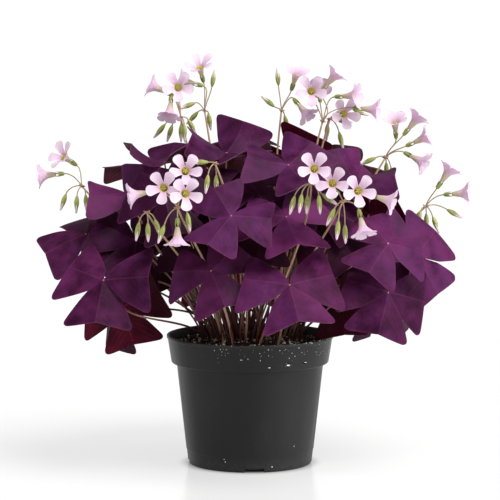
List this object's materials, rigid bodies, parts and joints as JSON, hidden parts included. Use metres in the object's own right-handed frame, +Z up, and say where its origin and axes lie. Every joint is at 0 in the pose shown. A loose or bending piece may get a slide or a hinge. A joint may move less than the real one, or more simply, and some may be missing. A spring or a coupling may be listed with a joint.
{
  "type": "potted purple shamrock",
  "caption": "Houseplant in a round black nursery pot: a dome of purple three-part leaves with clusters of small pale pink five-petalled flowers above it.",
  "frame": {"origin": "centre of the pot's flat underside, where the pot's axis meets the surface it stands on", "axes": "+Z up along the pot's axis; the front of the plant, as pictured, faces -Y; +X is to the right as seen from the front"},
  "size_m": [0.3389, 0.2838, 0.3182],
  "materials": {
    "pot": "charcoal black moulded plastic with a faint vertical sheen",
    "soil": null,
    "leaf": null,
    "stalk": null,
    "petal": null
  },
  "bodies": {
    "root": {"pot": "pot", "soil": "soil", "leaf_tuft_01": "leaf", "leaf_tuft_02": "leaf", "leaf_tuft_03": "leaf", "leaf_tuft_04": "leaf", "leaf_tuft_05": "leaf", "leaf_tuft_06": "leaf", "leaf_tuft_07": "leaf", "leaf_tuft_08": "leaf", "leaf_tuft_09": "leaf", "leaf_tuft_10": "leaf", "leaf_tuft_11": "leaf", "leaf_tuft_12": "leaf", "flower_stalk_01": "stalk", "flower_stalk_02": "stalk", "flower_stalk_03": "stalk", "flower_stalk_04": "stalk", "flower_stalk_05": "stalk", "flower_stalk_06": "stalk", "flower_stalk_07": "stalk", "flower_stalk_08": "stalk", "flower_stalk_09": "stalk", "flower_stalk_10": "stalk", "flower_stalk_11": "stalk", "flower_stalk_12": "stalk", "flower_stalk_13": "stalk", "bloom_01_1": "petal", "bloom_01_2": "petal", "bloom_02_1": "petal", "bloom_02_2": "petal", "bloom_02_3": "petal", "bloom_03_1": "petal", "bloom_03_2": "petal", "bloom_04_1": "petal", "bloom_04_2": "petal", "bloom_04_3": "petal", "bloom_04_4": "petal", "bloom_04_5": "petal", "bloom_05_1": "petal", "bloom_06_1": "petal", "bloom_06_2": "petal", "bloom_06_3": "petal", "bloom_06_4": "petal", "bloom_07_1": "petal", "bloom_07_2": "petal", "bloom_08_1": "petal", "bloom_08_2": "petal", "bloom_09_1": "petal", "bloom_09_2": "petal", "bloom_09_3": "petal", "bloom_09_4": "petal", "bloom_09_5": "petal", "bloom_10_1": "petal", "bloom_11_1": "petal", "bloom_11_2": "petal", "bloom_11_3": "petal", "bloom_11_4": "petal"}
  },
  "joints": []
}
